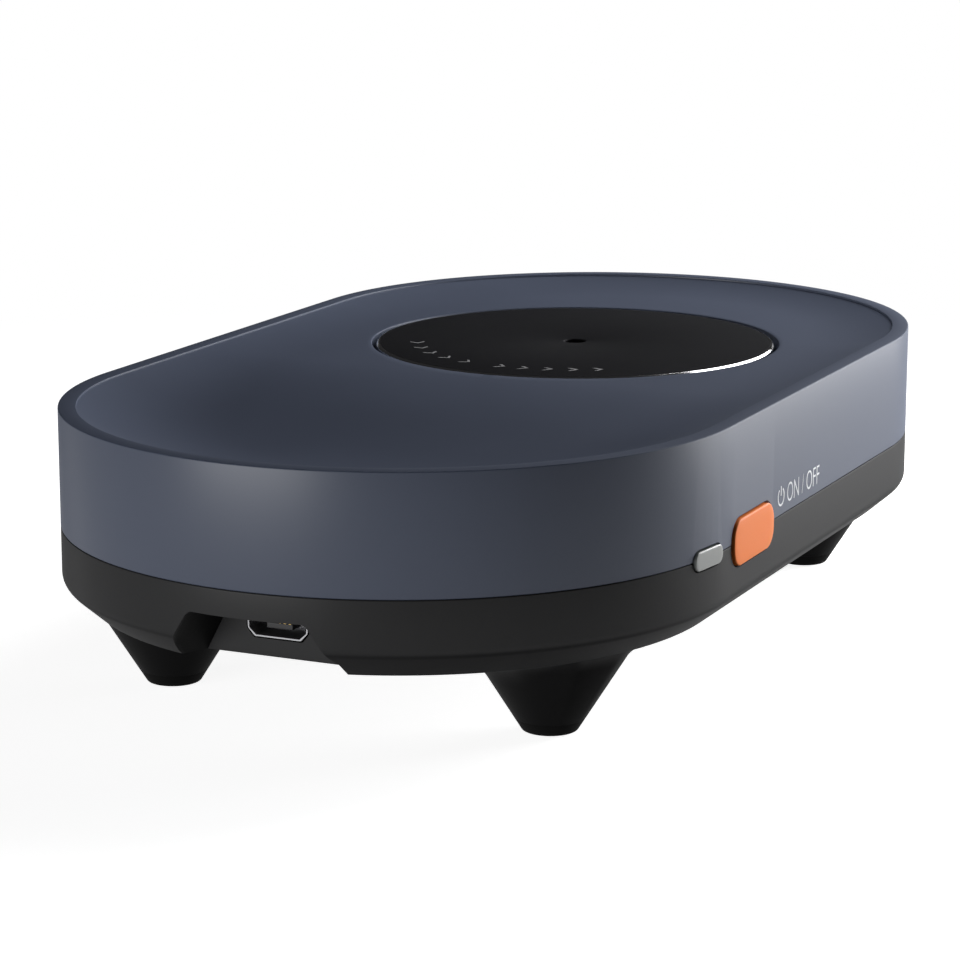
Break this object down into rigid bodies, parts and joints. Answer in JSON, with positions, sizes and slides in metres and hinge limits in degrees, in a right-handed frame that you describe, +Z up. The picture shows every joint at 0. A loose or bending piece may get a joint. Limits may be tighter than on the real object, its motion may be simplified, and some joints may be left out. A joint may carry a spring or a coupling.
{
  "type": "mouse jiggler",
  "caption": "Stadium-shaped desk tray on conical feet, with a slowly turning disc under the mouse's sensor, a side power button, a status lens and a micro-B power socket.",
  "frame": {"origin": "on the table, under the middle of the body", "axes": "+Z up, +X across the body to the side with the power button, +Y along the body to the disc's end, -Y to the cable recess"},
  "size_m": [0.0804, 0.14, 0.0333],
  "materials": {
    "blue_shell": "satin moulded",
    "black_shell": "satin moulded",
    "black_rubber": "matte",
    "steel_screw": "zinc plated",
    "disc_black": "fine satin",
    "polished_trim": "polished",
    "dark_plastic": "moulded",
    "shaft_steel": "ground",
    "bush_bronze": "sintered",
    "gear_nylon": "moulded",
    "motor_steel": "nickel plated",
    "brass": "machined",
    "board_green": "solder mask",
    "socket_steel": "nickel plated",
    "white_plastic": "moulded",
    "lead_red": "sleeve",
    "lead_black": "sleeve",
    "tinned_legs": "tinned",
    "capacitor_sleeve": "sleeve",
    "button_orange": "satin moulded",
    "lens_grey": "translucent"
  },
  "bodies": {
    "housing": {"top_housing": "blue_shell", "base_housing": "black_shell", "foot_pad_fl": "black_rubber", "foot_pad_fr": "black_rubber", "foot_pad_rl": "black_rubber", "foot_pad_rr": "black_rubber", "usb_shell": "socket_steel", "status_lens": "lens_grey", "housing_screw_fl": "steel_screw", "housing_screw_fr": "steel_screw", "housing_screw_rl": "steel_screw", "housing_screw_rr": "steel_screw", "spindle_bush": "bush_bronze", "gear_frame": "dark_plastic", "frame_screw_fl": "steel_screw", "frame_screw_fr": "steel_screw", "frame_screw_rl": "steel_screw", "frame_screw_rr": "steel_screw", "gearhead": "motor_steel", "motor_can": "motor_steel", "motor_end_cap": "dark_plastic", "motor_terminal_l": "brass", "motor_terminal_r": "brass", "motor_screw_l": "steel_screw", "motor_screw_r": "steel_screw", "circuit_board": "board_green", "board_screw_fl": "steel_screw", "board_screw_fr": "steel_screw", "board_screw_rear": "steel_screw", "usb_tongue": "dark_plastic", "usb_contacts": "brass", "lead_connector": "white_plastic", "lead_red": "lead_red", "lead_black": "lead_black", "controller_chip": "dark_plastic", "chip_legs": "tinned_legs", "capacitor": "capacitor_sleeve", "power_switch_body": "dark_plastic", "status_led": "white_plastic"},
    "turntable": {"turntable_plate": "disc_black", "turntable_trim": "polished_trim", "turntable_hub": "dark_plastic", "spindle": "shaft_steel", "turntable_gear": "gear_nylon"},
    "rotor": {"motor_shaft": "shaft_steel", "motor_pinion": "brass"},
    "button": {"power_button": "button_orange", "switch_plunger": "white_plastic"}
  },
  "joints": [
    {"name": "turntable_spin", "type": "hinge", "parent": "housing", "child": "turntable", "pos_m": [0, 0.0205, 0.0319], "axis": [0, 0, 1], "continuous": true},
    {"name": "rotor_spin", "type": "hinge", "parent": "housing", "child": "rotor", "pos_m": [0, -0.0027, 0.0267], "axis": [0, 0, 1], "continuous": true},
    {"name": "button_press", "type": "slide", "parent": "housing", "child": "button", "axis": [-1, 0, 0], "range_m": [0, 0.0008], "stiffness_N_per_m": 400, "springref_m": -0.0015}
  ],
  "couplings": [
    {"joint": "rotor_spin", "follows": "turntable_spin", "ratio": -3.1429}
  ]
}
